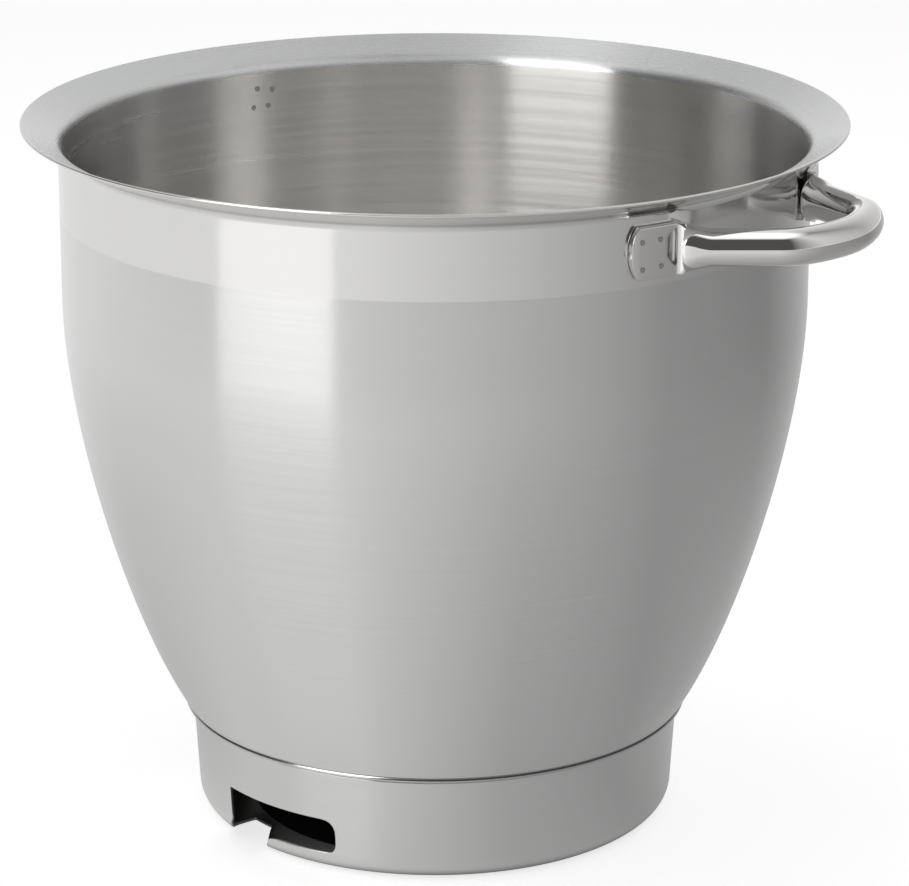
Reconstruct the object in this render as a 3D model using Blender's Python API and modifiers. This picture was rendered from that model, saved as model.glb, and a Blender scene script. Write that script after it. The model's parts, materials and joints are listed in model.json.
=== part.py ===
"""Stand mixer bowl: spun stainless shell, bayonet base ring, two tube handles.

Units are metres, +Z up.  The origin is on the floor under the bowl's axis, so
the rest plane of the base ring is Z = 0.  -Y is the side that carries the
visible slot of the base ring, +X the side of the first handle.
"""
import math

import bmesh
import bpy
from mathutils import Matrix, Vector

MM = 0.001

# ---------------------------------------------------------------- dimensions
STEPS = 64                 # facets round the axis
SHEET = 1.0 * MM           # sheet thickness of shell and ring
GAP = 0.3 * MM             # air between touching pieces

RIM_R = 130.0 * MM         # outer radius of the flared lip
RIM_Z = 227.7 * MM         # top of the lip
FLARE_DEG = 26.0           # rise of the flare above horizontal
FLARE_FILLET = 3.0 * MM    # bend between upright wall and flare, outside
WALL_R = 118.3 * MM        # outer radius of the upright wall
WALL_Z = 170.8 * MM        # height where the belly curve begins
FOOT_R = 80.9 * MM         # outer radius at the seam
FOOT_Z = 35.5 * MM         # height of the seam
FOOT_DEG = 34.7            # lean of the belly at the seam, from vertical
BELLY_TOP = 43.4 * MM      # tangent length of the belly curve, upper end
BELLY_LOW = 29.1 * MM      # tangent length of the belly curve, lower end
NECK_R = 77.9 * MM         # outer radius of the neck inside the ring
STEP_Z = 34.6 * MM         # underside of the step above the ring
STEP_FILLET = 1.4 * MM     # outer bend of the step
DISH_R = 52.0 * MM         # radius where the floor of the bowl begins
DISH_Z = 13.0 * MM         # underside of the floor of the bowl
CROWN = 1.5 * MM           # rise of the floor at the axis

RING_TOP_R = 79.2 * MM     # outer radius of the base ring at its top
RING_TOP_Z = 34.1 * MM
RING_LOW_R = 77.6 * MM     # outer radius above the rolled corner
RING_CORNER_R = 6.5 * MM   # rolled corner, radial and upright half axes
RING_CORNER_Z = 7.0 * MM
RING_LIP_R = 60.0 * MM     # inner radius of the inturned foot
ENTRY_R = 64.5 * MM        # inner end of the entry's notch in the foot
SLOT_TOP_Z = 17.8 * MM     # bayonet slot, upper and lower edge
SLOT_LOW_Z = 6.7 * MM
SLOT_FROM_DEG = -57.1      # slot ends, measured from -Y towards +X
SLOT_TO_DEG = -23.7
ENTRY_TO_DEG = -43.0       # the entry is open to the floor up to here
ENTRY_SHEAR = 0.5          # slant of the tongue's end, degrees per millimetre
SLOT_ROUND = 4.0 * MM      # radius of the closed end's corners
SLOTS = 2

TUBE_R = 5.6 * MM          # handle tube, outer radius
TUBE_WALL = 1.0 * MM
TAB_HALF = 7.9 * MM        # half height of the flattened ends
TAB_THICK = 2.0 * MM
TAB_ROUND = 10.7 * MM      # radius of the rounded tab ends
HANDLE_Z = 209.5 * MM
HANDLE_RISE = 0.03         # rise of the grip outwards, height per length
HANDLE_DEG = 55.0          # middle of the first handle, from -Y towards +X
HANDLE_DEG_2 = 235.0       # middle of the opposite handle
LOOP_HALF = 23.5 * MM      # corners of the grip in plan: from the middle, from the axis
LOOP_OUT = 139.6 * MM
LOOP_FAR = 149.0 * MM      # middle of the grip from the axis
TAB_FROM_DEG = 26.8        # tab ends, from the handle's middle
TAB_TO_DEG = 18.7
DRAIN_R = 1.1 * MM         # drain hole of the tube, in the near bend


# ---------------------------------------------------------------- 2D helpers
def arc(cx, cz, radius, start, stop, count, squash=1.0):
    """Points of an arc in the profile plane, angles in degrees."""
    out = []
    for i in range(count + 1):
        a = math.radians(start + (stop - start) * i / count)
        out.append((cx + radius * math.cos(a), cz + radius * squash * math.sin(a)))
    return out


def bezier(p0, p1, p2, p3, count):
    out = []
    for i in range(count + 1):
        t = i / count
        s = 1.0 - t
        out.append(tuple(s ** 3 * a + 3 * s * s * t * b + 3 * s * t * t * c + t ** 3 * d
                         for a, b, c, d in zip(p0, p1, p2, p3)))
    return out


def fillet(before, corner, after, radius, count):
    """Round the corner between two straight runs of a profile."""
    b, c, a = Vector(before), Vector(corner), Vector(after)
    u, v = (b - c).normalized(), (a - c).normalized()
    half = u.angle(v) / 2.0
    reach = radius / math.tan(half)
    centre = c + (u + v).normalized() * (radius / math.sin(half))
    start, stop = c + u * reach, c + v * reach
    a0 = math.atan2(start.y - centre.y, start.x - centre.x)
    a1 = math.atan2(stop.y - centre.y, stop.x - centre.x)
    while a1 - a0 > math.pi:
        a1 -= 2 * math.pi
    while a0 - a1 > math.pi:
        a1 += 2 * math.pi
    return [(centre.x + radius * math.cos(a0 + (a1 - a0) * i / count),
             centre.y + radius * math.sin(a0 + (a1 - a0) * i / count))
            for i in range(count + 1)]


def offset(path, distance):
    """Parallel copy of an open path, to the right of its direction."""
    out = []
    for i, p in enumerate(path):
        n = Vector((0.0, 0.0))
        if i > 0:
            d = (Vector(p) - Vector(path[i - 1])).normalized()
            n += Vector((d.y, -d.x))
        if i < len(path) - 1:
            e = (Vector(path[i + 1]) - Vector(p)).normalized()
            n += Vector((e.y, -e.x))
        n.normalize()
        if 0 < i < len(path) - 1:
            d = (Vector(p) - Vector(path[i - 1])).normalized()
            n /= max(0.35, n.dot(Vector((d.y, -d.x))))
        out.append((p[0] + n.x * distance, p[1] + n.y * distance))
    return out


# ---------------------------------------------------------------- scene tools
def collection(name):
    col = bpy.data.collections.new(name)
    bpy.context.scene.collection.children.link(col)
    return col


def add_object(name, mesh, col):
    obj = bpy.data.objects.new(name, mesh)
    col.objects.link(obj)
    return obj


def steel(name, colour, roughness):
    mat = bpy.data.materials.new(name)
    mat.use_nodes = True
    bsdf = mat.node_tree.nodes["Principled BSDF"]
    bsdf.inputs["Base Color"].default_value = (*colour, 1.0)
    bsdf.inputs["Roughness"].default_value = roughness
    bsdf.inputs["Metallic"].default_value = 1.0
    mat.diffuse_color = (*colour, 1.0)
    mat.roughness = roughness
    mat.metallic = 1.0
    return mat


def turned(name, path, closed, col):
    """A profile in the XZ plane, turned round Z."""
    mesh = bpy.data.meshes.new(name)
    bm = bmesh.new()
    verts = [bm.verts.new((x, 0.0, z)) for x, z in path]
    for a, b in zip(verts, verts[1:]):
        bm.edges.new((a, b))
    if closed:
        bm.edges.new((verts[-1], verts[0]))
    bm.to_mesh(mesh)
    bm.free()
    obj = add_object(name, mesh, col)
    screw = obj.modifiers.new("turn", "SCREW")
    screw.axis = "Z"
    screw.angle = 2 * math.pi
    screw.steps = STEPS
    screw.render_steps = STEPS
    screw.use_merge_vertices = True
    screw.merge_threshold = 0.00001
    screw.use_smooth_shade = True
    return obj


def cut(obj, cutter, name):
    mod = obj.modifiers.new(name, "BOOLEAN")
    mod.operation = "DIFFERENCE"
    mod.object = cutter
    mod.solver = "EXACT"
    cutter.hide_render = True
    cutter.display_type = "WIRE"


def smooth(obj, angle=30.0):
    obj.data.shade_smooth()
    obj.data.set_sharp_from_angle(angle=math.radians(angle))


# ---------------------------------------------------------------- the shell
def shell_outside():
    """Outside of the sheet from the lip down to the axis."""
    rise = math.radians(FLARE_DEG)
    mid = Vector((RIM_R - SHEET / 2, RIM_Z - SHEET / 2))
    under = mid + Vector((math.sin(rise), -math.cos(rise))) * (SHEET / 2)
    knee = Vector((WALL_R, under.y - (under.x - WALL_R) * math.tan(rise)))
    path = [tuple(under)]
    path += fillet(under, knee, (WALL_R, WALL_Z), FLARE_FILLET, 3)
    lean = math.radians(FOOT_DEG)
    path += bezier((WALL_R, WALL_Z), (WALL_R, WALL_Z - BELLY_TOP),
                   (FOOT_R + BELLY_LOW * math.sin(lean), FOOT_Z + BELLY_LOW * math.cos(lean)),
                   (FOOT_R, FOOT_Z), 9)[:-1]
    # the step that sits over the ring, then the neck and the dished floor
    above = (FOOT_R + math.sin(lean) * 0.01, FOOT_Z + math.cos(lean) * 0.01)
    drop = FOOT_Z - STEP_Z
    corner = (FOOT_R - drop * math.tan(lean), STEP_Z)
    path += fillet(above, corner, (NECK_R, STEP_Z), STEP_FILLET, 2)
    path += [(NECK_R + 0.4 * MM, STEP_Z)]
    path += [(NECK_R, STEP_Z - 0.4 * MM)]
    dish = arc(DISH_R, STEP_Z - 0.4 * MM, NECK_R - DISH_R, 0.0, -90.0, 5,
               (STEP_Z - 0.4 * MM - DISH_Z) / (NECK_R - DISH_R))
    path += dish[1:]
    for i in (1, 2):
        r = DISH_R * (1.0 - i / 2.0)
        path.append((r, DISH_Z + CROWN * (1.0 - (r / DISH_R) ** 2)))
    return path


def make_shell(col):
    outside = shell_outside()
    inside = offset(outside, SHEET)
    # the inner path ends exactly on the axis
    inside[-1] = (0.0, outside[-1][1] + SHEET)
    # the lip between both faces is a half round
    rise = math.radians(FLARE_DEG)
    mid = Vector(outside[0]).lerp(Vector(inside[0]), 0.5)
    lip = arc(mid.x, mid.y, SHEET / 2, 90.0 + FLARE_DEG, FLARE_DEG - 90.0, 3)
    path = inside[:0:-1] + lip + outside[1:]
    path[0] = (0.0, path[0][1])
    path[-1] = (0.0, path[-1][1])
    return turned("bowl_shell", path, False, col)


# ---------------------------------------------------------------- the ring
def make_ring(col, cutters):
    t = SHEET
    r0 = RING_LOW_R - RING_CORNER_R
    outside = arc(RING_TOP_R - 0.8 * MM, RING_TOP_Z - 0.8 * MM, 0.8 * MM, 90.0, 0.0, 2)
    corner = arc(r0, RING_CORNER_Z, RING_CORNER_R, 0.0, -90.0, 5,
                 RING_CORNER_Z / RING_CORNER_R)
    outside += corner
    outside += [(RING_LIP_R + 0.3 * MM, 0.0), (RING_LIP_R, 0.3 * MM)]
    inner_corner = arc(r0, RING_CORNER_Z, RING_CORNER_R - t, -90.0, 0.0, 4,
                       (RING_CORNER_Z - t) / (RING_CORNER_R - t))
    inside = [(RING_LIP_R, t - 0.3 * MM), (RING_LIP_R + 0.3 * MM, t)] + inner_corner
    inside += [(RING_TOP_R - t, RING_TOP_Z - 1.0 * MM), (RING_TOP_R - t, RING_TOP_Z)]
    ring = turned("base_ring", outside + inside, True, col)
    for k in range(SLOTS):
        cut(ring, slot_cutter(k, cutters), "slot_%d" % (k + 1))
    return ring


def slot_outline():
    """Slot seen from outside, as (azimuth in degrees, height, share of slant)."""
    deg_per_m = math.degrees(1.0 / RING_LOW_R)
    end = SLOT_ROUND * deg_per_m
    low = 2.5 * MM
    end2 = low * deg_per_m
    below = -3.0 * MM
    pts = [(SLOT_FROM_DEG, SLOT_TOP_Z, 0.0)]
    top_to = SLOT_TO_DEG - end
    n = 8
    pts += [(SLOT_FROM_DEG + (top_to - SLOT_FROM_DEG) * i / n, SLOT_TOP_Z, 0.0)
            for i in range(1, n)]
    for i in range(5):
        q = math.radians(90.0 - 90.0 * i / 4)
        pts.append((top_to + end * math.cos(q),
                    SLOT_TOP_Z - SLOT_ROUND + SLOT_ROUND * math.sin(q), 0.0))
    low_to = SLOT_TO_DEG - end2
    for i in range(4):
        q = math.radians(-90.0 * i / 3)
        pts.append((low_to + end2 * math.cos(q), SLOT_LOW_Z + low + low * math.sin(q), 0.0))
    # the tongue's upper edge, its slanting end, then the open entry
    n = 5
    pts += [(low_to + (ENTRY_TO_DEG - low_to) * i / n, SLOT_LOW_Z, i / n)
            for i in range(1, n + 1)]
    n = 4
    pts += [(ENTRY_TO_DEG + (SLOT_FROM_DEG - ENTRY_TO_DEG) * i / n, below, 1.0 - i / n)
            for i in range(n + 1)]
    return pts


def slot_cutter(index, cutters):
    """The slot's outline, laid on a cylinder and grown through the ring."""
    turn = 360.0 / SLOTS * index
    outline = slot_outline()
    mesh = bpy.data.meshes.new("slot_cutter_%d" % (index + 1))
    bm = bmesh.new()

    def place(point, radius):
        azimuth, height, share = point
        azimuth += share * ENTRY_SHEAR * (radius - RING_LOW_R) / MM
        q = math.radians(azimuth + turn)
        return Vector((radius * math.sin(q), -radius * math.cos(q), height))

    near, far = ENTRY_R, 86.0 * MM
    verts = [bm.verts.new(place(p, far)) for p in outline]
    face = bm.faces.new(verts)
    grown = bmesh.ops.extrude_face_region(bm, geom=[face])
    tips = [v for v in grown["geom"] if isinstance(v, bmesh.types.BMVert)]
    for point, base in zip(outline, verts):
        target = place(point, near)
        tip = min(tips, key=lambda v: (v.co - base.co).length)
        tips.remove(tip)
        tip.co = target
    bm.faces.ensure_lookup_table()
    bmesh.ops.triangulate(bm, faces=bm.faces[:])
    bmesh.ops.recalc_face_normals(bm, faces=bm.faces[:])
    bm.to_mesh(mesh)
    bm.free()
    return add_object("slot_cutter_%d" % (index + 1), mesh, cutters)


# ---------------------------------------------------------------- the handles
def handle_path():
    """Half of the handle's centre line in plan, tab end to grip middle.

    Returned as (across, out) pairs: across is the distance from the handle's
    middle plane, out the distance from the bowl's axis.
    """
    seat = WALL_R + GAP + TAB_THICK / 2
    pts = []
    for i in range(41):
        q = math.radians(TAB_FROM_DEG + (TAB_TO_DEG - TAB_FROM_DEG) * i / 40)
        pts.append(Vector((seat * math.sin(q), seat * math.cos(q))))
    q = math.radians(TAB_TO_DEG)
    start = pts[-1]
    along = Vector((-math.cos(q), math.sin(q)))
    corner = Vector((LOOP_HALF, LOOP_OUT))
    leg = (corner - start).normalized()
    foot = start + leg * 4.0 * MM
    bend = bezier(tuple(start), tuple(start + along * 1.5 * MM),
                  tuple(foot - leg * 1.8 * MM), tuple(foot), 24)
    pts += [Vector(p) for p in bend[1:]]
    pts += [foot.lerp(corner, i / 40) for i in range(1, 41)]
    grip = bezier(tuple(corner), tuple(corner + leg * 6.0 * MM),
                  (8.0 * MM, LOOP_FAR), (0.0, LOOP_FAR), 80)
    pts += [Vector(p) for p in grip[1:]]
    return pts


def resample(pts, stations):
    """Points and directions at the wanted distances along a fine path."""
    length = [0.0]
    for a, b in zip(pts, pts[1:]):
        length.append(length[-1] + (b - a).length)
    out = []
    for s in stations(length[-1]):
        i = 0
        while i < len(pts) - 2 and length[i + 1] < s:
            i += 1
        f = (s - length[i]) / (length[i + 1] - length[i])
        lo, hi = max(0, i - 1), min(len(pts) - 1, i + 2)
        out.append((s, pts[i].lerp(pts[i + 1], f), (pts[hi] - pts[lo]).normalized()))
    return out, length[-1]


def tab_length():
    seat = WALL_R + GAP + TAB_THICK / 2
    return seat * math.radians(TAB_FROM_DEG - TAB_TO_DEG)


def handle_section(s, inset):
    """Half height and half thickness of the tube, s from the tab's tip."""
    flat_end = tab_length() - 0.8 * MM
    f = min(1.0, max(0.0, (s - flat_end) / (13.0 * MM)))
    f = f * f * (3 - 2 * f)
    g = min(1.0, max(0.0, (s - flat_end) / (7.5 * MM)))
    half = TAB_HALF + (TUBE_R - TAB_HALF) * f
    thick = TAB_THICK / 2 + (TUBE_R - TAB_THICK / 2) * math.sin(g * math.pi / 2)
    if inset == 0.0 and s < TAB_ROUND:
        reach = math.sqrt(max(0.0, 2 * TAB_ROUND * s - s * s)) + TAB_THICK / 2
        half = min(half, max(reach, TAB_THICK / 2 + 0.2 * MM))
    return half - inset, thick - inset


def loft(name, stations, inset, sides):
    """Sections across the handle's path, joined into one closed skin."""
    half_path = handle_path()
    samples, total = resample(half_path, stations)
    rows = []
    for s, p, d in samples:
        # the swelling tube stands on the wall, so its inner side stays clear
        thick = handle_section(s, 0.0)[1]
        inner = (p - Vector((d.y, -d.x)) * thick).length
        outer = (p + Vector((d.y, -d.x)) * thick).length
        short = WALL_R + GAP - min(inner, outer)
        if short > 0.0:
            p = p + p.normalized() * short
        rows.append((p, d, handle_section(s, inset)))
    mirrored = []
    for p, d, sec in reversed(rows):
        if abs(p.x) < 1e-7:
            continue
        mirrored.append((Vector((-p.x, p.y)), Vector((d.x, -d.y)), sec))
    rows += mirrored
    bm = bmesh.new()
    rings = []
    quarter = sides // 2
    for p, d, (half, thick) in rows:
        ring = []
        straight = max(0.0, half - thick)
        lift = HANDLE_RISE * max(0.0, p.y - 113.5 * MM)
        for k in range(sides):
            top = k < quarter
            q = math.pi * ((k % quarter) + 0.5) / quarter
            if not top:
                q += math.pi
            x = thick * math.cos(q)
            z = thick * math.sin(q) + (straight if top else -straight)
            side = p + Vector((d.y, -d.x)) * x
            ring.append(bm.verts.new((side.x, side.y, z + lift)))
        rings.append(ring)
    for a, b in zip(rings, rings[1:]):
        for k in range(sides):
            m = (k + 1) % sides
            bm.faces.new((a[k], a[m], b[m], b[k]))
    bm.faces.new(list(reversed(rings[0])))
    bm.faces.new(rings[-1])
    bmesh.ops.triangulate(bm, faces=[f for f in bm.faces if len(f.verts) > 4])
    bmesh.ops.recalc_face_normals(bm, faces=bm.faces[:])
    mesh = bpy.data.meshes.new(name)
    bm.to_mesh(mesh)
    bm.free()
    return mesh


def outer_stations(total):
    tab = tab_length()
    out = [0.0, 0.35 * MM, 1.0 * MM, 2.0 * MM, 3.6 * MM, 7.5 * MM]
    s = tab - 3.2 * MM
    while s < tab + 14.5 * MM:
        out.append(s)
        s += 2.2 * MM
    n = 8
    rest = total - s
    out += [s + rest * i / n for i in range(n + 1)]
    return out


def bore_stations(total):
    tab = tab_length()
    out = []
    s = tab + 1.5 * MM
    while s < tab + 14.5 * MM:
        out.append(s)
        s += 3.2 * MM
    n = 7
    rest = total - s
    out += [s + rest * i / n for i in range(n + 1)]
    return out


def place_handle(obj, degrees):
    """Across runs along the wall, out points away from the axis."""
    q = math.radians(degrees)
    out = Vector((math.sin(q), -math.cos(q), 0.0))
    across = Vector((math.cos(q), math.sin(q), 0.0))
    rot = Matrix((across, out, Vector((0, 0, 1)))).transposed().to_4x4()
    obj.matrix_world = Matrix.Translation((0, 0, HANDLE_Z)) @ rot


def make_handle(name, degrees, col, cutters):
    handle = add_object(name, loft(name, outer_stations, 0.0, 12), col)
    place_handle(handle, degrees)
    bore = add_object(name + "_bore", loft(name + "_bore", bore_stations, TUBE_WALL, 8), cutters)
    place_handle(bore, degrees)
    # a drain hole through the tube's lower side, next to the bend
    bm = bmesh.new()
    bmesh.ops.create_cone(bm, cap_ends=True, cap_tris=False, segments=12,
                          radius1=DRAIN_R, radius2=DRAIN_R, depth=6 * MM)
    mesh = bpy.data.meshes.new(name + "_drain")
    bm.to_mesh(mesh)
    bm.free()
    drain = add_object(name + "_drain", mesh, cutters)
    spot = Vector((-LOOP_HALF - 4.0 * MM, LOOP_OUT - 7.1 * MM))
    q = math.radians(degrees)
    out = Vector((math.sin(q), -math.cos(q)))
    across = Vector((math.cos(q), math.sin(q)))
    flat = out * spot.y + across * spot.x
    drain.location = (flat.x, flat.y, HANDLE_Z - TUBE_R)
    cut(handle, bore, "bore")
    cut(handle, drain, "drain")
    return handle


# ---------------------------------------------------------------- build
def build():
    for obj in list(bpy.data.objects):
        bpy.data.objects.remove(obj, do_unlink=True)
    parts = collection("stand_mixer_bowl")
    cutters = collection("cutters")
    brushed = steel("brushed_stainless", (0.60, 0.59, 0.57), 0.28)
    ring_steel = steel("satin_stainless", (0.58, 0.57, 0.56), 0.30)
    polished = steel("polished_stainless", (0.68, 0.67, 0.66), 0.06)

    shell = make_shell(parts)
    shell.data.materials.append(brushed)
    ring = make_ring(parts, cutters)
    ring.data.materials.append(ring_steel)
    for name, degrees in (("handle_right", HANDLE_DEG), ("handle_left", HANDLE_DEG_2)):
        handle = make_handle(name, degrees, parts, cutters)
        handle.data.materials.append(polished)
        smooth(handle, 40.0)


build()
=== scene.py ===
"""Looks of the stand mixer bowl: fine turned meshes, brushed and polished steel,
a pale studio floor, soft lights and the camera.  Metres, +Z up, -Y to the front.
"""

import json
import math

import bmesh
import bpy
from mathutils import Matrix, Vector
from mathutils.geometry import delaunay_2d_cdt

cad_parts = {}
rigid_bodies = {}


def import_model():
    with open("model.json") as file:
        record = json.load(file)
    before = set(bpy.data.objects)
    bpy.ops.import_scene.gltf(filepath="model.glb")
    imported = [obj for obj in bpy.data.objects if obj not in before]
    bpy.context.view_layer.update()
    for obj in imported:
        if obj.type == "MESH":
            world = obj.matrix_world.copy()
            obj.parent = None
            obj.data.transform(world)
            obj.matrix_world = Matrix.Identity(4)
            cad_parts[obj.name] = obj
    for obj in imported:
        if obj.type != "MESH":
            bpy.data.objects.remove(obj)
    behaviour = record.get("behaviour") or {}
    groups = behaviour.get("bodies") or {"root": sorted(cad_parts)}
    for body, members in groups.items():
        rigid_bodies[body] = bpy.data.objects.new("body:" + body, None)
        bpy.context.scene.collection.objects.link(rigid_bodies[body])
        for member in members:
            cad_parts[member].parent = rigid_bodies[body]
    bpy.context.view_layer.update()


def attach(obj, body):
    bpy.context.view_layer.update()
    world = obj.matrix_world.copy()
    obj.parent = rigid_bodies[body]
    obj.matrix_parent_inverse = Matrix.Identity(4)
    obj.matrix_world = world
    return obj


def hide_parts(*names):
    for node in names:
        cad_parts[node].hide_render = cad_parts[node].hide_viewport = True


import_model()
scene = bpy.context.scene

MM = 0.001

# ------------------------------------------------------------ driving sizes
SHEET = 1.0 * MM
RIM_R, RIM_Z = 130.0 * MM, 227.7 * MM
FLARE_DEG = 26.0
FLARE_FILLET = 3.0 * MM
WALL_R, WALL_Z = 118.3 * MM, 170.8 * MM
BAND_Z = 199.0 * MM
FOOT_R, FOOT_Z, FOOT_DEG = 80.9 * MM, 35.5 * MM, 34.7
BELLY_TOP, BELLY_LOW = 43.4 * MM, 29.1 * MM
NECK_R, STEP_Z, STEP_FILLET = 77.9 * MM, 34.6 * MM, 1.4 * MM
SEAM_R, SEAM_Z = 81.35 * MM, 36.35 * MM
DISH_R, DISH_Z, CROWN = 52.0 * MM, 13.0 * MM, 1.5 * MM

RING_TOP_R, RING_TOP_Z = 79.2 * MM, 34.1 * MM
RING_LOW_R = 77.6 * MM
RING_CORNER_R, RING_CORNER_Z = 6.5 * MM, 7.0 * MM
RING_LIP_R = 60.0 * MM
SLOT_TOP_Z, SLOT_LOW_Z = 17.8 * MM, 6.7 * MM
SLOT_FROM_DEG, SLOT_TO_DEG, ENTRY_TO_DEG = -57.1, -23.7, -43.0
ENTRY_SHEAR = 0.5
SLOT_ROUND = 4.0 * MM
SLOTS = 2

TUBE_R = 5.6 * MM
TAB_HALF, TAB_THICK, TAB_ROUND = 7.9 * MM, 2.0 * MM, 10.7 * MM
HANDLE_Z, HANDLE_RISE = 209.5 * MM, 0.03
HANDLES = (("handle_right", 55.0), ("handle_left", 235.0))
LOOP_HALF, LOOP_OUT, LOOP_FAR = 23.5 * MM, 139.6 * MM, 149.0 * MM
TAB_FROM_DEG, TAB_TO_DEG = 26.8, 18.7
GAP = 0.3 * MM

AROUND = 360               # facets round the axis


# ------------------------------------------------------------ 2D helpers
def arc(cx, cz, radius, start, stop, count, squash=1.0):
    out = []
    for i in range(count + 1):
        a = math.radians(start + (stop - start) * i / count)
        out.append((cx + radius * math.cos(a), cz + radius * squash * math.sin(a)))
    return out


def bezier(p0, p1, p2, p3, count):
    out = []
    for i in range(count + 1):
        t = i / count
        s = 1.0 - t
        out.append(tuple(s ** 3 * a + 3 * s * s * t * b + 3 * s * t * t * c + t ** 3 * d
                         for a, b, c, d in zip(p0, p1, p2, p3)))
    return out


def fillet(before, corner, after, radius, count):
    b, c, a = Vector(before), Vector(corner), Vector(after)
    u, v = (b - c).normalized(), (a - c).normalized()
    half = u.angle(v) / 2.0
    reach = radius / math.tan(half)
    centre = c + (u + v).normalized() * (radius / math.sin(half))
    start, stop = c + u * reach, c + v * reach
    a0 = math.atan2(start.y - centre.y, start.x - centre.x)
    a1 = math.atan2(stop.y - centre.y, stop.x - centre.x)
    while a1 - a0 > math.pi:
        a1 -= 2 * math.pi
    while a0 - a1 > math.pi:
        a1 += 2 * math.pi
    return [(centre.x + radius * math.cos(a0 + (a1 - a0) * i / count),
             centre.y + radius * math.sin(a0 + (a1 - a0) * i / count))
            for i in range(count + 1)]


def offset(path, distance):
    out = []
    for i, p in enumerate(path):
        n = Vector((0.0, 0.0))
        if i > 0:
            d = (Vector(p) - Vector(path[i - 1])).normalized()
            n += Vector((d.y, -d.x))
        if i < len(path) - 1:
            e = (Vector(path[i + 1]) - Vector(p)).normalized()
            n += Vector((e.y, -e.x))
        n.normalize()
        if 0 < i < len(path) - 1:
            d = (Vector(p) - Vector(path[i - 1])).normalized()
            n /= max(0.35, n.dot(Vector((d.y, -d.x))))
        out.append((p[0] + n.x * distance, p[1] + n.y * distance))
    return out


def smoothstep(a, b, x):
    t = min(1.0, max(0.0, (x - a) / (b - a)))
    return t * t * (3 - 2 * t)


# ------------------------------------------------------------ shader helpers
class Tree:
    """A short way to write node trees."""

    def __init__(self, tree):
        self.tree = tree
        self.nodes = tree.nodes
        self.links = tree.links

    def node(self, kind, **settings):
        n = self.nodes.new(kind)
        for k, v in settings.items():
            setattr(n, k, v)
        return n

    def link(self, a, b):
        self.links.new(a, b)

    def put(self, socket, value):
        if isinstance(value, bpy.types.NodeSocket):
            self.links.new(value, socket)
        else:
            socket.default_value = value

    def math(self, op, a, b=0.0, c=0.0, clamp=False):
        n = self.node("ShaderNodeMath", operation=op, use_clamp=clamp)
        self.put(n.inputs[0], a)
        self.put(n.inputs[1], b)
        self.put(n.inputs[2], c)
        return n.outputs[0]

    def vmath(self, op, a, b=None):
        n = self.node("ShaderNodeVectorMath", operation=op)
        self.put(n.inputs[0], a)
        if b is not None:
            self.put(n.inputs[1], b)
        return n.outputs["Value"] if op in ("LENGTH", "DOT_PRODUCT", "DISTANCE") else n.outputs[0]

    def separate(self, v):
        n = self.node("ShaderNodeSeparateXYZ")
        self.put(n.inputs[0], v)
        return n.outputs[0], n.outputs[1], n.outputs[2]

    def combine(self, x, y, z):
        n = self.node("ShaderNodeCombineXYZ")
        self.put(n.inputs[0], x)
        self.put(n.inputs[1], y)
        self.put(n.inputs[2], z)
        return n.outputs[0]

    def ramp(self, fac, stops, mode="LINEAR"):
        n = self.node("ShaderNodeValToRGB")
        r = n.color_ramp
        r.interpolation = mode
        while len(r.elements) > 1:
            r.elements.remove(r.elements[-1])
        for i, (pos, value) in enumerate(stops):
            e = r.elements[0] if i == 0 else r.elements.new(pos)
            e.position = pos
            if isinstance(value, (int, float)):
                value = (value, value, value)
            e.color = (*value[:3], 1.0)
        self.put(n.inputs[0], fac)
        return n.outputs[0]

    def mix(self, fac, a, b, kind="RGBA", blend="MIX"):
        n = self.node("ShaderNodeMix", data_type=kind)
        if kind == "RGBA":
            n.blend_type = blend
            sa, sb, out = n.inputs[6], n.inputs[7], n.outputs[2]
        else:
            sa, sb, out = n.inputs[2], n.inputs[3], n.outputs[0]
        self.put(n.inputs[0], fac)
        for s, v in ((sa, a), (sb, b)):
            if kind == "RGBA" and isinstance(v, tuple) and len(v) == 3:
                v = (*v, 1.0)
            self.put(s, v)
        return out

    def smooth(self, low, high, x):
        n = self.node("ShaderNodeMapRange", interpolation_type="SMOOTHSTEP")
        self.put(n.inputs["Value"], x)
        n.inputs["From Min"].default_value = low
        n.inputs["From Max"].default_value = high
        return n.outputs[0]

    def noise(self, vector, scale, detail=2.0, rough=0.5):
        n = self.node("ShaderNodeTexNoise", noise_dimensions="3D")
        self.put(n.inputs["Vector"], vector)
        n.inputs["Scale"].default_value = scale
        n.inputs["Detail"].default_value = detail
        n.inputs["Roughness"].default_value = rough
        return n.outputs[0]


def new_material(name):
    mat = bpy.data.materials.new(name)
    mat.use_nodes = True
    mat.node_tree.nodes.clear()
    t = Tree(mat.node_tree)
    bsdf = t.node("ShaderNodeBsdfPrincipled")
    out = t.node("ShaderNodeOutputMaterial")
    t.link(bsdf.outputs[0], out.inputs[0])
    bsdf.inputs["Metallic"].default_value = 1.0
    return mat, t, bsdf


def turned_coordinates(t):
    """(x, y, height + radius) of the piece, so that grain runs round the axis."""
    tc = t.node("ShaderNodeTexCoord").outputs["Object"]
    x, y, z = t.separate(tc)
    radius = t.vmath("LENGTH", t.combine(x, y, 0.0))
    along = t.math("ADD", z, radius)
    return x, y, z, radius, along


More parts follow.
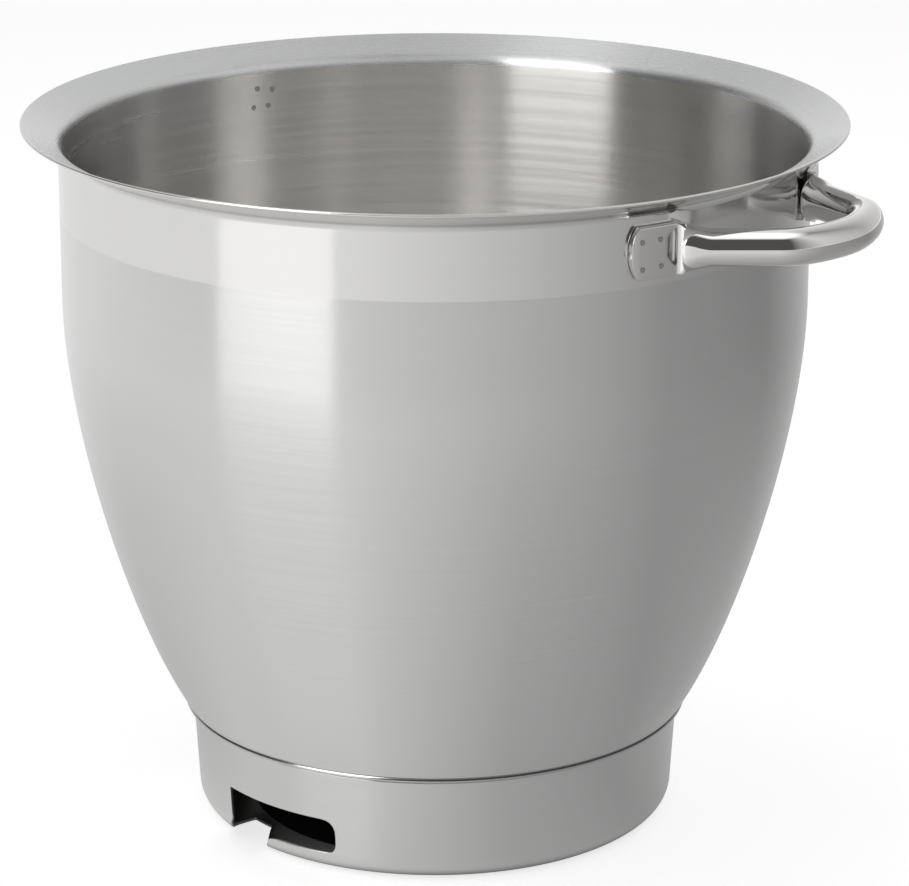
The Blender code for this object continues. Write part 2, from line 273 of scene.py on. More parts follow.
def brushed_steel(name, colour, rough, aniso, grain, line, streak=0.035, tone=0.03):
    """Sheet brushed round the axis: long fine lines, spread light along the profile."""
    mat, t, bsdf = new_material(name)
    x, y, z, radius, along = turned_coordinates(t)
    fine = t.noise(t.combine(t.math("MULTIPLY", x, 14.0), t.math("MULTIPLY", y, 14.0),
                             t.math("MULTIPLY", along, grain)), 1.0, 3.0, 0.65)
    broad = t.noise(t.combine(t.math("MULTIPLY", x, 5.0), t.math("MULTIPLY", y, 5.0),
                              t.math("MULTIPLY", along, grain * 0.16)), 1.0, 2.0, 0.6)
    cloud = t.noise(t.combine(t.math("MULTIPLY", x, 9.0), t.math("MULTIPLY", y, 9.0),
                              t.math("MULTIPLY", along, 22.0)), 1.0, 2.0, 0.5)
    # colour: faint tone of the grain
    tones = t.math("ADD", t.math("MULTIPLY", t.math("SUBTRACT", fine, 0.5), tone * 2.0),
                   t.math("MULTIPLY", t.math("SUBTRACT", broad, 0.5), tone * 1.6))
    tones = t.math("ADD", tones, 1.0)
    base = t.mix(1.0, colour, t.combine(tones, tones, tones), blend="MULTIPLY")
    t.link(base, bsdf.inputs["Base Color"])
    # roughness varies from line to line and in broad zones
    r = t.math("ADD", rough, t.math("MULTIPLY", t.math("SUBTRACT", broad, 0.5), streak * 2.0))
    r = t.math("ADD", r, t.math("MULTIPLY", t.math("SUBTRACT", cloud, 0.5), streak))
    t.link(r, bsdf.inputs["Roughness"])
    bsdf.inputs["Anisotropic"].default_value = aniso
    bsdf.inputs["Anisotropic Rotation"].default_value = 0.25
    tangent = t.node("ShaderNodeTangent", direction_type="RADIAL", axis="Z")
    t.link(tangent.outputs[0], bsdf.inputs["Tangent"])
    bump = t.node("ShaderNodeBump")
    bump.inputs["Strength"].default_value = 1.0
    bump.inputs["Distance"].default_value = line
    height = t.math("ADD", fine, t.math("MULTIPLY", broad, 1.2))
    t.link(height, bump.inputs["Height"])
    t.link(bump.outputs[0], bsdf.inputs["Normal"])
    return mat


def polished_steel(name, colour, rough, wave, haze=0.02):
    """Buffed sheet or tube: near mirror, with faint ripples and polishing haze."""
    mat, t, bsdf = new_material(name)
    x, y, z, radius, along = turned_coordinates(t)
    tc = t.node("ShaderNodeTexCoord").outputs["Object"]
    ripple = t.noise(t.combine(t.math("MULTIPLY", x, 22.0), t.math("MULTIPLY", y, 22.0),
                               t.math("MULTIPLY", along, 160.0)), 1.0, 2.0, 0.5)
    hazes = t.noise(t.combine(t.math("MULTIPLY", x, 20.0), t.math("MULTIPLY", y, 20.0),
                              t.math("MULTIPLY", along, 2600.0)), 1.0, 2.0, 0.6)
    r = t.math("ADD", rough, t.math("MULTIPLY", hazes, haze))
    t.link(r, bsdf.inputs["Roughness"])
    tone = t.math("ADD", 0.985, t.math("MULTIPLY", hazes, 0.03))
    t.link(t.mix(1.0, colour, t.combine(tone, tone, tone), blend="MULTIPLY"),
           bsdf.inputs["Base Color"])
    bump = t.node("ShaderNodeBump")
    bump.inputs["Strength"].default_value = 1.0
    bump.inputs["Distance"].default_value = wave
    t.link(ripple, bump.inputs["Height"])
    t.link(bump.outputs[0], bsdf.inputs["Normal"])
    return mat


STEEL = (0.648, 0.645, 0.640)
MAT_BODY = brushed_steel("steel_brushed_outside", STEEL, 0.20, 1.0, 5200.0, 0.000009)
# the inside's lighter colour is partly its own brushed finish and partly painted light that brightens the shaded
# inside of the bowl
MAT_INSIDE = brushed_steel("steel_brushed_inside", (0.725, 0.715, 0.70), 0.25, 1.0, 3000.0, 0.000011, 0.05, 0.05)
MAT_FLARE = brushed_steel("steel_satin_flare", (0.655, 0.658, 0.662), 0.27, 1.0, 4200.0, 0.000008, 0.03, 0.02)
MAT_BAND = polished_steel("steel_polished_band", (0.665, 0.66, 0.654), 0.11, 0.000004)
MAT_RING = brushed_steel("steel_satin_ring", STEEL, 0.24, 0.9, 4200.0, 0.000008, 0.03, 0.02)
MAT_TUBE = polished_steel("steel_polished_tube", (0.70, 0.69, 0.68), 0.04, 0.000003, 0.015)
# near-black dull steel for the crevice above the ring: painted shade of the gap under the shell's rim
MAT_CREVICE_PAINTED_SHADE = polished_steel("steel_crevice_painted_shade", (0.16, 0.16, 0.165), 0.45, 0.000002, 0.06)
MAT_MARK = polished_steel("steel_weld_mark", (0.40, 0.39, 0.375), 0.30, 0.000002, 0.05)
MAT_SPOT = polished_steel("steel_weld_spot", (0.33, 0.315, 0.31), 0.30, 0.000004, 0.05)
MAT_TAB = polished_steel("steel_satin_tab", (0.64, 0.625, 0.615), 0.17, 0.000006, 0.04)
MAT_SHOULDER = polished_steel("steel_polished_shoulder", (0.56, 0.55, 0.545), 0.15, 0.000004, 0.05)
MAT_EDGE = polished_steel("steel_cut_edge", (0.70, 0.69, 0.675), 0.12, 0.000002, 0.06)


# ------------------------------------------------------------ the shell
def shell_outside(rim):
    """Outside of the sheet from the lip down to the axis, with the material of
    the run that starts at each point: 0 flare, 1 band, 2 body, 3 hidden floor."""
    rise = math.radians(FLARE_DEG)
    mid = Vector((RIM_R - SHEET / 2, RIM_Z - SHEET / 2))
    under = mid + Vector((math.sin(rise), -math.cos(rise))) * (SHEET / 2)
    knee = Vector((WALL_R, under.y - (under.x - WALL_R) * math.tan(rise)))
    bend = fillet(under, knee, (WALL_R, WALL_Z), FLARE_FILLET, 10)
    path = [(tuple(under), 1)]
    n = 8
    for i in range(1, n):
        path.append((tuple(Vector(under).lerp(Vector(bend[0]), i / n)), 1))
    path += [(p, 1) for p in bend]
    top = bend[-1][1]
    n = 6
    for i in range(1, n):
        path.append(((WALL_R, top + (BAND_Z - top) * i / n), 1))
    path.append(((WALL_R, BAND_Z), 2))
    n = 8
    for i in range(1, n):
        path.append(((WALL_R, BAND_Z + (WALL_Z - BAND_Z) * i / n), 2))
    lean = math.radians(FOOT_DEG)
    belly = bezier((WALL_R, WALL_Z), (WALL_R, WALL_Z - BELLY_TOP),
                   (FOOT_R + BELLY_LOW * math.sin(lean), FOOT_Z + BELLY_LOW * math.cos(lean)),
                   (FOOT_R, FOOT_Z), 60)[:-1]
    path += [(p, 2) for p in belly if not rim or p[1] > SEAM_Z + 2.2 * MM]
    above = (FOOT_R + math.sin(lean) * 0.01, FOOT_Z + math.cos(lean) * 0.01)
    drop = FOOT_Z - STEP_Z
    corner = (FOOT_R - drop * math.tan(lean), STEP_Z)
    if rim:
        # the sheet's edge is rounded in over the ring
        turn = (SEAM_R + 0.35 * MM, SEAM_Z)
        path += [(p, 2) for p in fillet(path[-1][0], turn, (NECK_R, SEAM_Z - 0.2 * MM), 0.6 * MM, 8)]
        path += [((NECK_R + 0.5 * MM, SEAM_Z - 0.2 * MM), 3)]
    else:
        path += [(p, 2) for p in fillet(above, corner, (NECK_R, STEP_Z), STEP_FILLET, 8)]
        path += [((NECK_R + 0.4 * MM, STEP_Z), 3)]
    path += [((NECK_R, STEP_Z - 0.4 * MM), 3)]
    dish = arc(DISH_R, STEP_Z - 0.4 * MM, NECK_R - DISH_R, 0.0, -90.0, 18,
               (STEP_Z - 0.4 * MM - DISH_Z) / (NECK_R - DISH_R))
    path += [(p, 3) for p in dish[1:]]
    n = 8
    for i in range(1, n + 1):
        r = DISH_R * (1.0 - i / n)
        path.append(((r, DISH_Z + CROWN * (1.0 - (r / DISH_R) ** 2)), 3))
    return [p for p, m in path], [m for p, m in path]


def revolve(name, path, slots, count, materials):
    """A closed profile from the axis (inside) over the lip to the axis (below)."""
    verts, faces, mats = [], [], []
    rings = []
    for r, z in path:
        if r < 1e-7:
            rings.append([len(verts)])
            verts.append((0.0, 0.0, z))
            continue
        ring = []
        for k in range(count):
            q = 2 * math.pi * k / count
            ring.append(len(verts))
            verts.append((r * math.sin(q), -r * math.cos(q), z))
        rings.append(ring)
    for i in range(len(rings) - 1):
        a, b = rings[i], rings[i + 1]
        for k in range(count):
            m = (k + 1) % count
            if len(a) == 1:
                faces.append((a[0], b[k], b[m]))
            elif len(b) == 1:
                faces.append((a[k], b[0], a[m]))
            else:
                faces.append((a[k], b[k], b[m], a[m]))
            mats.append(slots[i])
    mesh = bpy.data.meshes.new(name)
    mesh.from_pydata(verts, [], faces)
    for m in materials:
        mesh.materials.append(m)
    mesh.polygons.foreach_set("material_index", mats)
    mesh.update()
    bm = bmesh.new()
    bm.from_mesh(mesh)
    if bm.calc_volume(signed=True) < 0.0:
        bmesh.ops.reverse_faces(bm, faces=bm.faces[:])
    bm.to_mesh(mesh)
    bm.free()
    mesh.shade_smooth()
    obj = bpy.data.objects.new(name, mesh)
    scene.collection.objects.link(obj)
    return obj


# the hidden left handle's spot welds, seen inside: degrees round the axis, height
INNER_SPOTS = ((211.0, 214.3 * MM), (208.25, 213.7 * MM), (209.0, 208.2 * MM), (211.7, 207.9 * MM))


def make_shell():
    outside, kinds = shell_outside(True)
    inside = offset(shell_outside(False)[0], SHEET)
    inside[-1] = (0.0, outside[-1][1] + SHEET)
    mid = Vector(outside[0]).lerp(Vector(inside[0]), 0.5)
    lip = arc(mid.x, mid.y, SHEET / 2, 90.0 + FLARE_DEG, FLARE_DEG - 90.0, 10)
    path = inside[:0:-1] + lip + outside[1:]
    path[0] = (0.0, path[0][1])
    path[-1] = (0.0, path[-1][1])
    # slots: 0 body, 1 band, 2 inside, 3 flare, 4 edge, 5 crevice above the ring, near-black as painted shade
    slots = []
    for i in range(len(path) - 1):
        a, b = Vector(path[i]), Vector(path[i + 1])
        inner = i < len(inside) - 1
        on_lip = len(inside) - 1 <= i < len(inside) - 1 + len(lip) - 1
        z = (a.y + b.y) / 2
        if inner:
            slots.append(3 if z > 219.5 * MM else 2)
        elif on_lip:
            slots.append(4)
        else:
            # the run hidden in the gap above the ring takes the near-black crevice material, a painted shade
            deep = z < SEAM_Z - 0.1 * MM and z > STEP_Z - 4.0 * MM
            slots.append(5 if deep else 1 if z > BAND_Z else 0)
    obj = revolve("shell_visual", path, slots, AROUND,
                  [MAT_BODY, MAT_BAND, MAT_INSIDE, MAT_FLARE, MAT_EDGE, MAT_CREVICE_PAINTED_SHADE])
    # the left handle's spot welds show inside the wall
    obj.data.materials.append(MAT_MARK)
    bm = bmesh.new()
    bm.from_mesh(obj.data)
    for at, high in INNER_SPOTS:
        weld_spot(bm, at, WALL_R - SHEET, high, 1.0 * MM, 6, -1.0)
    bm.to_mesh(obj.data)
    bm.free()
    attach(obj, "root")
    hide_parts("bowl_shell")
    return obj


# ------------------------------------------------------------ the handles
def handle_path():
    seat = WALL_R + GAP + TAB_THICK / 2
    pts = []
    for i in range(41):
        q = math.radians(TAB_FROM_DEG + (TAB_TO_DEG - TAB_FROM_DEG) * i / 40)
        pts.append(Vector((seat * math.sin(q), seat * math.cos(q))))
    q = math.radians(TAB_TO_DEG)
    start = pts[-1]
    along = Vector((-math.cos(q), math.sin(q)))
    corner = Vector((LOOP_HALF, LOOP_OUT))
    leg = (corner - start).normalized()
    foot = start + leg * 5.0 * MM
    bend = bezier(tuple(start), tuple(start + along * 2.0 * MM),
                  tuple(foot - leg * 2.2 * MM), tuple(foot), 24)
    pts += [Vector(p) for p in bend[1:]]
    pts += [foot.lerp(corner, i / 40) for i in range(1, 41)]
    grip = bezier(tuple(corner), tuple(corner + leg * 6.0 * MM),
                  (8.0 * MM, LOOP_FAR), (0.0, LOOP_FAR), 80)
    pts += [Vector(p) for p in grip[1:]]
    return pts


def resample(pts, stations):
    length = [0.0]
    for a, b in zip(pts, pts[1:]):
        length.append(length[-1] + (b - a).length)
    out = []
    for s in stations(length[-1]):
        i = 0
        while i < len(pts) - 2 and length[i + 1] < s:
            i += 1
        f = (s - length[i]) / (length[i + 1] - length[i])
        lo, hi = max(0, i - 1), min(len(pts) - 1, i + 2)
        out.append((s, pts[i].lerp(pts[i + 1], f), (pts[hi] - pts[lo]).normalized()))
    return out, length[-1]


def tab_length():
    return (WALL_R + GAP + TAB_THICK / 2) * math.radians(TAB_FROM_DEG - TAB_TO_DEG)


def handle_section(s):
    flat_end = tab_length() - 0.8 * MM
    f = min(1.0, max(0.0, (s - flat_end) / (11.5 * MM)))
    f = f * f * (3 - 2 * f)
    g = min(1.0, max(0.0, (s - flat_end) / (4.6 * MM)))
    half = TAB_HALF + (TUBE_R - TAB_HALF) * f
    thick = TAB_THICK / 2 + (TUBE_R - TAB_THICK / 2) * math.sin(g * math.pi / 2)
    if s < TAB_ROUND:
        reach = math.sqrt(max(0.0, 2 * TAB_ROUND * s - s * s)) + TAB_THICK / 2
        half = min(half, max(reach, TAB_THICK / 2 + 0.2 * MM))
    return half, thick


def handle_stations(total):
    out = [0.0, 0.12 * MM, 0.35 * MM, 0.7 * MM, 1.2 * MM]
    s = 1.8 * MM
    while s < tab_length() + 14.0 * MM:
        out.append(s)
        s += 0.4 * MM
    n = 60
    rest = total - s
    out += [s + rest * i / n for i in range(n + 1)]
    return out


# spot welds of a tab: degrees from the handle's middle, height from its centre
TAB_SPOTS = ((25.1, 3.6 * MM), (22.1, 3.8 * MM), (25.0, -4.6 * MM), (21.9, -4.2 * MM))


def weld_spot(bm, degrees, radius, height, size, material, facing):
    """A shallow pressed ring with a dip, set on an upright wall."""
    q = math.radians(degrees)
    out = Vector((math.sin(q), -math.cos(q), 0.0))
    side = Vector((math.cos(q), math.sin(q), 0.0))
    centre = out * radius + Vector((0, 0, height))
    profile = ((1.0, -0.06), (0.93, 0.02), (0.7, 0.03), (0.45, 0.015), (0.2, 0.0))
    rings = []
    for share, lift in profile:
        ring = []
        for k in range(24):
            a = 2 * math.pi * k / 24
            flat = side * math.cos(a) * size * share + Vector((0, 0, math.sin(a) * size * share))
            # follow the wall's curve
            sag = (size * share * math.cos(a)) ** 2 / (2 * radius)
            ring.append(bm.verts.new(centre + flat + out * (lift * MM * facing - sag)))
        rings.append(ring)
    tip = bm.verts.new(centre + out * (-0.005 * MM * facing))
    back = bm.verts.new(centre + out * (-0.3 * MM * facing))
    faces = []
    for a, b in zip(rings, rings[1:]):
        for k in range(24):
            m = (k + 1) % 24
            faces.append(bm.faces.new((a[k], a[m], b[m], b[k])))
    for k in range(24):
        m = (k + 1) % 24
        faces.append(bm.faces.new((rings[-1][k], rings[-1][m], tip)))
        faces.append(bm.faces.new((rings[0][m], rings[0][k], back)))
    for f in faces:
        f.material_index = material
        f.smooth = True
    bmesh.ops.recalc_face_normals(bm, faces=faces)


def make_handle(name, degrees):
    sides = 64
    samples, total = resample(handle_path(), handle_stations)
    rows = []
    for s, p, d in samples:
        half, thick = handle_section(s)
        side = Vector((d.y, -d.x))
        inner = (p - side * thick).length
        outer = (p + side * thick).length
        short = WALL_R + GAP - min(inner, outer)
        if short > 0.0:
            p = p + p.normalized() * short
        rows.append((p, d, (half, thick, s)))
    mirrored = []
    for p, d, sec in reversed(rows):
        if abs(p.x) < 1e-7:
            continue
        mirrored.append((Vector((-p.x, p.y)), Vector((d.x, -d.y)), sec))
    rows += mirrored
    q = math.radians(degrees)
    out_dir = Vector((math.sin(q), -math.cos(q), 0.0))
    across = Vector((math.cos(q), math.sin(q), 0.0))
    verts, faces = [], []
    for p, d, (half, thick, s) in rows:
        lift = HANDLE_RISE * max(0.0, p.y - 113.5 * MM)
        # a rectangle with rounded corners that grow into the round tube
        f = min(1.0, max(0.0, (thick - TAB_THICK / 2) / (TUBE_R - TAB_THICK / 2) * 1.6))
        corner = min(half, thick) * (0.45 + 0.55 * f)
        for k in range(sides):
            quarter = sides // 4
            a = math.pi / 2 * (k // quarter + (k % quarter + 0.5) / quarter)
            x = corner * math.cos(a) + (thick - corner) * (1 if k // quarter in (0, 3) else -1)
            z = corner * math.sin(a) + (half - corner) * (1 if k // quarter in (0, 1) else -1)
            # the pinch ends later towards the top and bottom
            late = handle_section(s - 2.6 * MM * (z / half) ** 2)[1] if s > tab_length() - 2.0 * MM else thick
            x *= late / thick
            c = p + Vector((d.y, -d.x)) * x
            v = across * c.x + out_dir * c.y + Vector((0, 0, HANDLE_Z + z + lift))
            verts.append(tuple(v))
    n = len(rows)
    for i in range(n - 1):
        for k in range(sides):
            m = (k + 1) % sides
            faces.append((i * sides + k, i * sides + m, (i + 1) * sides + m, (i + 1) * sides + k))
    faces.append(tuple(reversed(range(sides))))
    faces.append(tuple(range((n - 1) * sides, n * sides)))
    mesh = bpy.data.meshes.new(name + "_visual")
    mesh.from_pydata(verts, [], faces)
    mesh.materials.append(MAT_TUBE)
    mesh.materials.append(MAT_TAB)
    mesh.materials.append(MAT_SPOT)
    flat = sum(1 for s, p, d in samples if s < tab_length() - 0.4 * MM)
    tones = [1 if i < flat - 1 or i >= n - flat else 0 for i in range(n - 1) for k in range(sides)]
    mesh.polygons.foreach_set("material_index", tones + [1, 1])
    mesh.update()
    bm = bmesh.new()
    bm.from_mesh(mesh)
    bmesh.ops.recalc_face_normals(bm, faces=bm.faces[:])
    for side in (-1.0, 1.0):
        for off, height in TAB_SPOTS:
            weld_spot(bm, degrees + side * off, WALL_R + GAP + TAB_THICK, HANDLE_Z + height, 0.95 * MM, 2, 1.0)
    bm.to_mesh(mesh)
    bm.free()
    mesh.shade_smooth()
    mesh.set_sharp_from_angle(angle=math.radians(50))
    obj = bpy.data.objects.new(name + "_visual", mesh)
    scene.collection.objects.link(obj)
    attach(obj, "root")
    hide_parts(name)
    return obj


shell = make_shell()
for handle_name, handle_at in HANDLES:
    make_handle(handle_name, handle_at)

# ------------------------------------------------------------ the base ring
EDGE = 0.22 * MM
CORNER_LONG = 10.62 * MM          # length of the rolled corner along the profile
WALL_LONG = 26.35 * MM            # from the ring's rounded top to the corner
FOOT_LONG = RING_LOW_R - RING_CORNER_R - RING_LIP_R


def ring_profile(s, depth):
    """Point of the ring's sheet, s along the outside from the top, depth 0 outside
    to 1 inside."""
    if s < WALL_LONG:
        f = s / WALL_LONG
        return (RING_TOP_R + (RING_LOW_R - RING_TOP_R) * f - SHEET * depth,
                RING_TOP_Z + (RING_CORNER_Z - RING_TOP_Z) * f)
    if s < WALL_LONG + CORNER_LONG:
        q = (s - WALL_LONG) / CORNER_LONG * math.pi / 2
        q += 0.035 * math.sin(2 * q)
        return (RING_LOW_R - RING_CORNER_R + (RING_CORNER_R - SHEET * depth) * math.cos(q),
                RING_CORNER_Z - (RING_CORNER_Z - SHEET * depth) * math.sin(q))
    return (RING_LOW_R - RING_CORNER_R - (s - WALL_LONG - CORNER_LONG), SHEET * depth)


def profile_at(radius, low):
    """Distance along the profile of a radius in the corner or the foot."""
    if radius < RING_LOW_R - RING_CORNER_R:
        return WALL_LONG + CORNER_LONG + (RING_LOW_R - RING_CORNER_R - radius)
    a, b = WALL_LONG, WALL_LONG + CORNER_LONG
    for _ in range(40):
        m = (a + b) / 2
        if ring_profile(m, 0.0)[0] > radius:
            a = m
        else:
            b = m
    return (a + b) / 2


def rounded(points, radii, count=5):
    """Closed outline with its corners rounded."""
    out = []
    n = len(points)
    for i, (p, r) in enumerate(zip(points, radii)):
        p = Vector(p)
        if r <= 0.0:
            out.append(tuple(p))
            continue
        before, after = Vector(points[i - 1]), Vector(points[(i + 1) % n])
        u, v = (before - p), (after - p)
        reach = min(r, u.length * 0.48, v.length * 0.48)
        a, b = p + u.normalized() * reach, p + v.normalized() * reach
        for k in range(count + 1):
            t = k / count
            out.append(tuple((1 - t) ** 2 * a + 2 * t * (1 - t) * p + t * t * b))
    return out


def slot_shape():
    """Outline of the slot and its open entry on the unrolled sheet: (length round
    the ring at the wall's radius, distance down the profile)."""
    def at(deg, down):
        return (math.radians(deg) * RING_LOW_R, down)

    def plan(x, y):
        radius = math.hypot(x, y)
        return at(math.degrees(math.atan2(x, -y)), profile_at(radius, 0))
    wall = WALL_LONG / (RING_TOP_Z - RING_CORNER_Z)
    top = (RING_TOP_Z - SLOT_TOP_Z) * wall
    low = (RING_TOP_Z - RING_CORNER_Z) * wall + (RING_CORNER_Z - SLOT_LOW_Z)
    points, radii = [], []

    def add(p, r=0.0):
        points.append(p)
        radii.append(r)
    add(at(SLOT_FROM_DEG, top), 0.5 * MM)
    add(at(SLOT_TO_DEG, top), SLOT_ROUND * 1.25)
    add(at(SLOT_TO_DEG, low), 3.2 * MM)
    add(at(-31.0, low + 0.25 * MM), 2.0 * MM)
    add(at(-40.8, low + 0.1 * MM), 1.0 * MM)
    add(at(-43.0, low + 0.8 * MM), 1.2 * MM)              # the tongue's rounded tip
    add(plan(-53.6 * MM, -53.0 * MM), 1.6 * MM)
    add(plan(-53.4 * MM, -47.5 * MM), 1.5 * MM)
    add(plan(-53.3 * MM, -42.0 * MM), 1.5 * MM)
    add(plan(-52.6 * MM, -34.9 * MM), 0.7 * MM)           # inner end of the entry
    add(plan(-58.2 * MM, -28.1 * MM), 0.8 * MM)
    add(plan(-64.1 * MM, -32.8 * MM), 1.6 * MM)           # the entry's other side
    add(plan(-64.8 * MM, -36.2 * MM), 1.0 * MM)
    add(at(SLOT_FROM_DEG, WALL_LONG + 0.4 * MM), 0.6 * MM)
    outline = rounded(points, radii)
    # even steps of at most 0.8 mm
    fine = []
    for a, b in zip(outline, outline[1:] + outline[:1]):
        a, b = Vector(a), Vector(b)
        steps = max(1, math.ceil((b - a).length / (0.8 * MM)))
        fine += [tuple(a.lerp(b, k / steps)) for k in range(steps)]
    return fine


def grown(outline, distance):
    """The outline moved outwards (away from the opening) by a distance."""
    n = len(outline)
    area = sum(a[0] * b[1] - b[0] * a[1] for a, b in zip(outline, outline[1:] + outline[:1]))
    turn = 1.0 if area > 0 else -1.0
    out = []
    for i in range(n):
        p = Vector(outline[i])
        d = (p - Vector(outline[i - 1]))
        e = (Vector(outline[(i + 1) % n]) - p)
        normal = Vector((d.normalized().y + e.normalized().y, -d.normalized().x - e.normalized().x))
        normal.normalize()
        normal /= max(0.5, normal.dot(Vector((e.normalized().y, -e.normalized().x))))
        out.append(tuple(p + normal * distance * turn))
    return out


def inside_outline(p, outline):
    hit = False
    for a, b in zip(outline, outline[1:] + outline[:1]):
        if (a[1] > p[1]) != (b[1] > p[1]):
            if p[0] < a[0] + (p[1] - a[1]) / (b[1] - a[1]) * (b[0] - a[0]):
                hit = not hit
    return hit


def near_outline(p, outline, limit):
    return any((p[0] - a[0]) ** 2 + (p[1] - a[1]) ** 2 < limit * limit for a in outline)


def make_ring():
    total = WALL_LONG + CORNER_LONG + FOOT_LONG
    rows = [EDGE * 3]
    n = 20
    rows += [EDGE * 3 + (WALL_LONG - EDGE * 3) * i / n for i in range(1, n + 1)]
    n = 16
    rows += [WALL_LONG + CORNER_LONG * i / n for i in range(1, n + 1)]
    n = 8
    rows += [WALL_LONG + CORNER_LONG + (FOOT_LONG - EDGE) * i / n for i in range(1, n + 1)]
    per = 360 // SLOTS
    first = -100                       # degrees, where a half of the ring begins
    columns = [math.radians(first + i) * RING_LOW_R for i in range(per + 1)]
    opening = slot_shape()
    wide = grown(opening, EDGE)
    points, edges = [], []
    index = {}
    for i, x in enumerate(columns):
        for j, y in enumerate(rows):
            if 0 < i < per and 0 < j < len(rows) - 1:
                if inside_outline((x, y), wide) or near_outline((x, y), wide, 0.35 * MM):
                    continue
            index[i, j] = len(points)
            points.append((x, y))
    for i in range(per):
        edges.append((index[i, 0], index[i + 1, 0]))
        edges.append((index[i, len(rows) - 1], index[i + 1, len(rows) - 1]))
    for j in range(len(rows) - 1):
        edges.append((index[0, j], index[0, j + 1]))
        edges.append((index[per, j], index[per, j + 1]))
    base = len(points)
    points += wide
    m = len(wide)
    edges += [(base + k, base + (k + 1) % m) for k in range(m)]
    flat = [Vector((p[0] / MM, p[1] / MM)) for p in points]
    pts, _, tris, _, _, _ = delaunay_2d_cdt(flat, edges, [], 1, 1e-6)
    pts = [(p.x * MM, p.y * MM) for p in pts]
    keep = []
    for t in tris:
        cx = sum(pts[k][0] for k in t) / len(t)
        cy = sum(pts[k][1] for k in t) / len(t)
        if not inside_outline((cx, cy), wide):
            keep.append(t)

    def place(p, depth, turn):
        r, z = ring_profile(p[1], depth)
        q = p[0] / RING_LOW_R + turn
        return Vector((r * math.sin(q), -r * math.cos(q), z))

    bm = bmesh.new()
    edge_steps = [(EDGE * (1 - math.sin(q)), EDGE * (1 - math.cos(q)) / SHEET)
                  for q in (0.0, math.pi / 6, math.pi / 3, math.pi / 2)]
    edge_steps += [(off, 1.0 - d) for off, d in reversed(edge_steps)]
    for part_no in range(SLOTS):
        turn = 2 * math.pi / SLOTS * part_no
        for depth in (0.0, 1.0):
            vs = [bm.verts.new(place(p, depth, turn)) for p in pts]
            for t in keep:
                f = [vs[k] for k in t]
                bm.faces.new(f if depth == 0.0 else list(reversed(f)))
        # the cut edge of the slot, slightly rounded on both sides
        loops = []
        for off, d in edge_steps:
            line = grown(opening, off)
            loops.append([bm.verts.new(place(p, d, turn)) for p in line])
        for a, b in zip(loops, loops[1:]):
            for k in range(m):
                n2 = (k + 1) % m
                bm.faces.new((a[k], a[n2], b[n2], b[k]))
        # the rounded top and the inner end of the foot
        for at_top in (True, False):
            lines = []
            if at_top:
                reach = EDGE * 3
                q_steps = [math.pi * i / 10 for i in range(11)]
                offs = [(reach * (1 - math.sin(q)), 0.5 - 0.5 * math.cos(q)) for q in q_steps]
                for off, d in offs:
                    lines.append([bm.verts.new(place((x, off), d, turn)) for x in columns])
            else:
                for off, d in edge_steps:
                    lines.append([bm.verts.new(place((x, total - off), d, turn)) for x in columns])
            for a, b in zip(lines, lines[1:]):
                for k in range(per):
                    bm.faces.new((a[k], a[k + 1], b[k + 1], b[k]))
    bmesh.ops.remove_doubles(bm, verts=bm.verts[:], dist=0.00001)
    bmesh.ops.recalc_face_normals(bm, faces=bm.faces[:])
    bmesh.ops.triangulate(bm, faces=[f for f in bm.faces if len(f.verts) > 4])
    mesh = bpy.data.meshes.new("ring_visual")
    bm.to_mesh(mesh)
    bm.free()
    mesh.materials.append(MAT_RING)
    mesh.shade_smooth()
    mesh.set_sharp_from_angle(angle=math.radians(40))
    obj = bpy.data.objects.new("ring_visual", mesh)
    scene.collection.objects.link(obj)
    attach(obj, "root")
    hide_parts("base_ring")
    return obj


ring = make_ring()


def make_shoulder():
    """The ring's upper edge, turned outwards under the shell and buffed: a band
    that faces outwards and up, closed at the back."""
    radius = 1.35 * MM
    r0, z0 = 80.40 * MM, 35.22 * MM
    front = arc(r0, z0, radius, 6.0, 64.0, 12)
    lower = [(r0 + radius, z0 - 0.05 * MM), (r0 + radius - 0.25 * MM, z0 - 0.3 * MM),
             (RING_TOP_R + 0.35 * MM, z0 - 0.55 * MM), (RING_TOP_R + 0.02 * MM, z0 - 0.9 * MM),
             (RING_TOP_R + 0.02 * MM, RING_TOP_Z - 0.15 * MM)]
    inner = RING_TOP_R - 1.15 * MM
    loop = list(reversed(lower)) + front + [(inner, front[-1][1]), (inner, RING_TOP_Z - 0.15 * MM)]
    verts, faces = [], []
    for k in range(AROUND):
        q = 2 * math.pi * k / AROUND
        verts += [(r * math.sin(q), -r * math.cos(q), z) for r, z in loop]
    n = len(loop)
    for k in range(AROUND):
        m = (k + 1) % AROUND
        for i in range(n):
            j = (i + 1) % n
            faces.append((k * n + i, m * n + i, m * n + j, k * n + j))
    mesh = bpy.data.meshes.new("ring_shoulder")
    mesh.from_pydata(verts, [], faces)
    mesh.materials.append(MAT_SHOULDER)
    mesh.update()
    bm = bmesh.new()
    bm.from_mesh(mesh)
    bmesh.ops.recalc_face_normals(bm, faces=bm.faces[:])
    bm.to_mesh(mesh)
    bm.free()
    mesh.shade_smooth()
    mesh.set_sharp_from_angle(angle=math.radians(40))
    obj = bpy.data.objects.new("ring_shoulder", mesh)
    scene.collection.objects.link(obj)
    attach(obj, "root")
    return obj


shoulder = make_shoulder()


# ------------------------------------------------------------ camera
ELEV = math.radians(17.398)
DIST = 1.25
AIM = Vector((0.0, 0.0, 0.11956))
cam_data = bpy.data.cameras.new("camera")
cam = bpy.data.objects.new("camera", cam_data)
scene.collection.objects.link(cam)
cam.location = AIM + Vector((0.0, -math.cos(ELEV), math.sin(ELEV))) * DIST
cam.rotation_euler = (math.pi / 2 - ELEV, 0.0, 0.0)
cam_data.sensor_width = 36.0
cam_data.sensor_fit = "HORIZONTAL"
cam_data.lens = 3874.5 / 909.0 * 36.0
cam_data.shift_x = (454.5 - 435.0) / 909.0
cam_data.clip_start, cam_data.clip_end = 0.05, 50.0
scene.camera = cam


